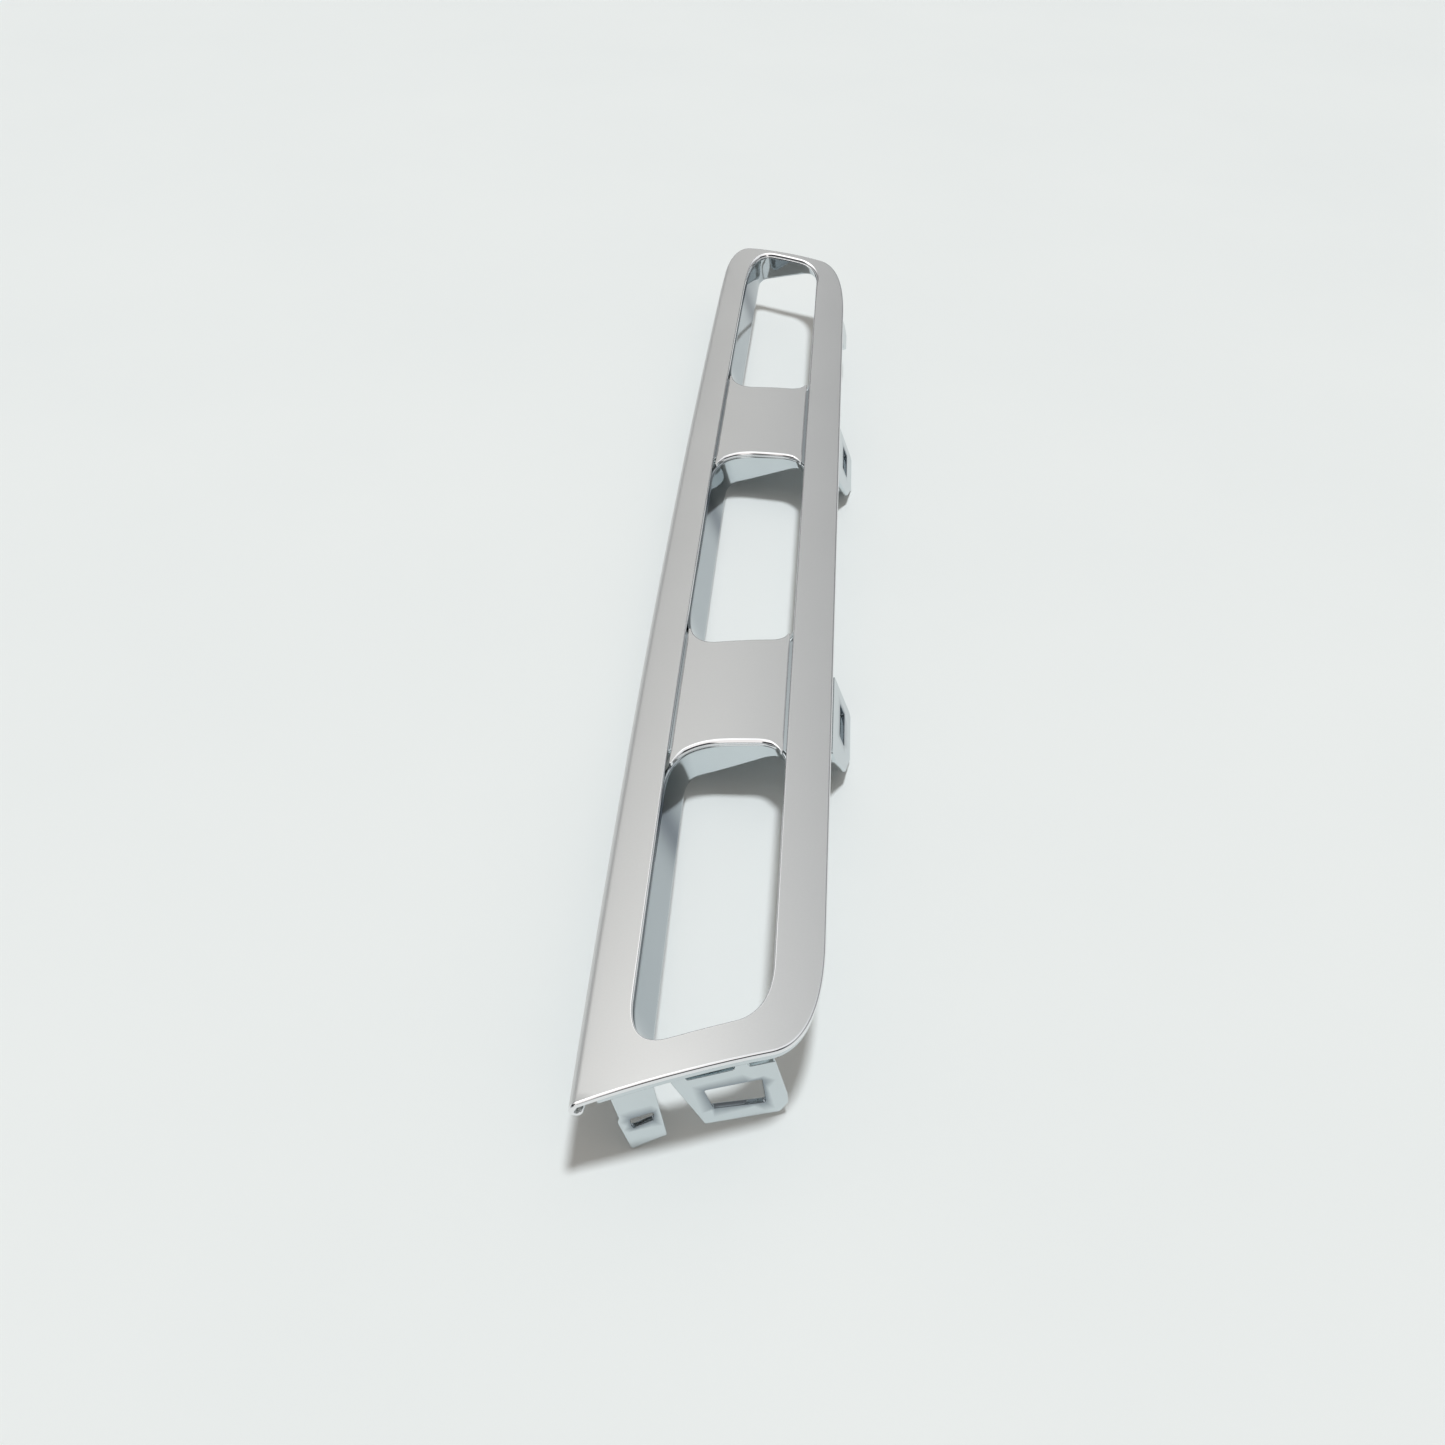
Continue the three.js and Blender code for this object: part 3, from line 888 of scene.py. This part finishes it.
make_piece("satin_face", face_shape, "face_frame", "surround", satin_look)
bars = {
    "near": (WINDOWS["near"][1], WINDOWS["middle"][0]),
    "far": (WINDOWS["middle"][1], WINDOWS["far"][0]),
}
for name, (before, after) in bars.items():
    shape = make_bar(before, after, BAR_BEADS[name])
    make_piece("satin_bar_" + name, shape, "bridge_" + name, "surround", satin_look)

make_piece("bright_deck", deck_shape, "carrier", "surround", deck_look)
for name, (near, far) in WINDOWS.items():
    shape = make_liner(near, far, FAR_WALL_LOSS if name == "far" else 0)
    node = "window_liner_" + name
    make_piece("bright_wall_" + name, shape, node, "surround", painted_shade_wall_look)

tabs = {
    "snap_leg_near": ("leg_near", end_frame(), LEG, LEG_HOLE, 1),
    "catch_plate_near": ("plate_near", end_frame(), PLATE, PLATE_HOLE, 1),
}
for name, (x, start, depth) in SIDE_TABS.items():
    outlines = (side_outline(depth), side_hole(depth))
    tabs["snap_tab_" + name] = ("tab_" + name, side_frame(x, start), *outlines, SIDE_TAB_BRIGHTNESS)
for name, x in (("right", LUG_RIGHT), ("left", LEFT_ROOT)):
    axes = side_frame(x, LUG_START)
    tabs["snap_lug_" + name] = ("lug_" + name, axes, LUG, None, SIDE_TAB_BRIGHTNESS)
for node, (body, *drawing) in tabs.items():
    make_piece("bright_" + body, make_tab(*drawing), node, body, painted_shade_wall_look)


# ---- Floor, light and camera ----
def make_floor():
    mesh = bpy.data.meshes.new("floor")
    corners = [(x * FLOOR_HALF, y * FLOOR_HALF, 0) for x, y in ((-1, -1), (1, -1), (1, 1), (-1, 1))]
    mesh.from_pydata(corners, [], [(0, 1, 2, 3)])
    mesh.materials.append(floor_material())
    floor = bpy.data.objects.new("floor", mesh)
    bpy.context.scene.collection.objects.link(floor)
    floor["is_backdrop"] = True


def add_overhead_light():
    """A large soft light high above, which makes shadows but is left out of reflections."""
    light = bpy.data.lights.new("overhead_light", "SUN")
    light.energy = LIGHT_ENERGY
    light.angle = LIGHT_ANGLE
    light.color = LIGHT_COLOUR
    lamp = bpy.data.objects.new("overhead_light", light)
    bpy.context.scene.collection.objects.link(lamp)
    lamp.visible_glossy = False
    lamp.rotation_mode = "QUATERNION"
    lamp.rotation_quaternion = Vector(LIGHT_FROM).to_track_quat("Z", "Y")


def step(tree, value, low, high):
    """0 below low, 1 above high and smooth between."""
    inputs = {"Value": value, "From Min": low, "From Max": high}
    return add(tree, "MapRange", inputs, interpolation_type="SMOOTHSTEP").outputs[0]


def reflected_sky(tree):
    """The colour that a reflection finds in each direction."""
    way = add(tree, "SeparateXYZ", {0: add(tree, "TexCoord").outputs["Generated"]})
    x, y, z = way.outputs
    overhead = step(tree, z, 0.46, 0.74)
    left = mixed(tree, overhead, *BACK_LEFT_SKY)
    right = mixed(tree, overhead, *BACK_RIGHT_SKY)
    back = mixed(tree, step(tree, x, -0.3, 0.12), left, right)
    front = mixed(tree, step(tree, z, 0.8, 0.9), *FRONT_SKY)
    off_centre = step(tree, math_node(tree, "ABSOLUTE", x), 0.1, 0.22)
    gap = math_node(tree, "SUBTRACT", 1.0, off_centre)
    front = mixed(tree, gap, front, FRONT_GAP_SKY)
    around = mixed(tree, step(tree, y, -0.1, 0.2), front, back)
    return mixed(tree, step(tree, z, 0.22, 0.34), LOW_SKY, around)


def make_world():
    """One sky for reflections and plain pale ones for the camera and for dull surfaces."""
    world = bpy.data.worlds.new("studio")
    bpy.context.scene.world = world
    world.use_nodes = True
    world.cycles.sampling_method = "NONE"
    tree = world.node_tree
    tree.nodes.clear()
    light_path = add(tree, "LightPath").outputs
    sky = mixed(tree, light_path["Is Glossy Ray"], DULL_SKY, reflected_sky(tree))
    sky = mixed(tree, light_path["Is Camera Ray"], sky, SEEN_SKY)
    background = add(tree, "Background", {"Color": sky, "Strength": 1.0})
    add(tree, "OutputWorld", {"Surface": background.outputs[0]})


def make_camera():
    camera = bpy.data.cameras.new("camera")
    camera.sensor_width = 36
    camera.lens = CAMERA_LENS
    camera.clip_start = 0.01
    camera.clip_end = 50
    eye = bpy.data.objects.new("camera", camera)
    bpy.context.scene.collection.objects.link(eye)
    pitch, roll, yaw = CAMERA_PITCH, CAMERA_ROLL, CAMERA_YAW
    ahead = Vector((-math.sin(yaw) * math.cos(pitch), math.cos(yaw) * math.cos(pitch), -math.sin(pitch)))
    level = Vector((math.cos(yaw), math.sin(yaw), 0))
    above = Vector((-math.sin(yaw) * math.sin(pitch), math.cos(yaw) * math.sin(pitch), math.cos(pitch)))
    right = level * math.cos(roll) + above * math.sin(roll)
    up = above * math.cos(roll) - level * math.sin(roll)
    turn = Matrix.Rotation(-REST_ROLL, 3, "Y")
    axes = Matrix((turn @ right, turn @ up, turn @ -ahead)).transposed().to_4x4()
    place = (turn @ Vector(CAMERA_PLACE) + Vector(shift)) * MM
    eye.matrix_world = Matrix.Translation(place) @ axes
    bpy.context.scene.camera = eye


make_floor()
make_world()
add_overhead_light()
bpy.context.scene.view_settings.view_transform = "Standard"
make_camera()

visual_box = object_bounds()
boxes = {"cad": cad_box, "visual": visual_box}
{name: [list(corner) for corner in box] for name, box in boxes.items()}
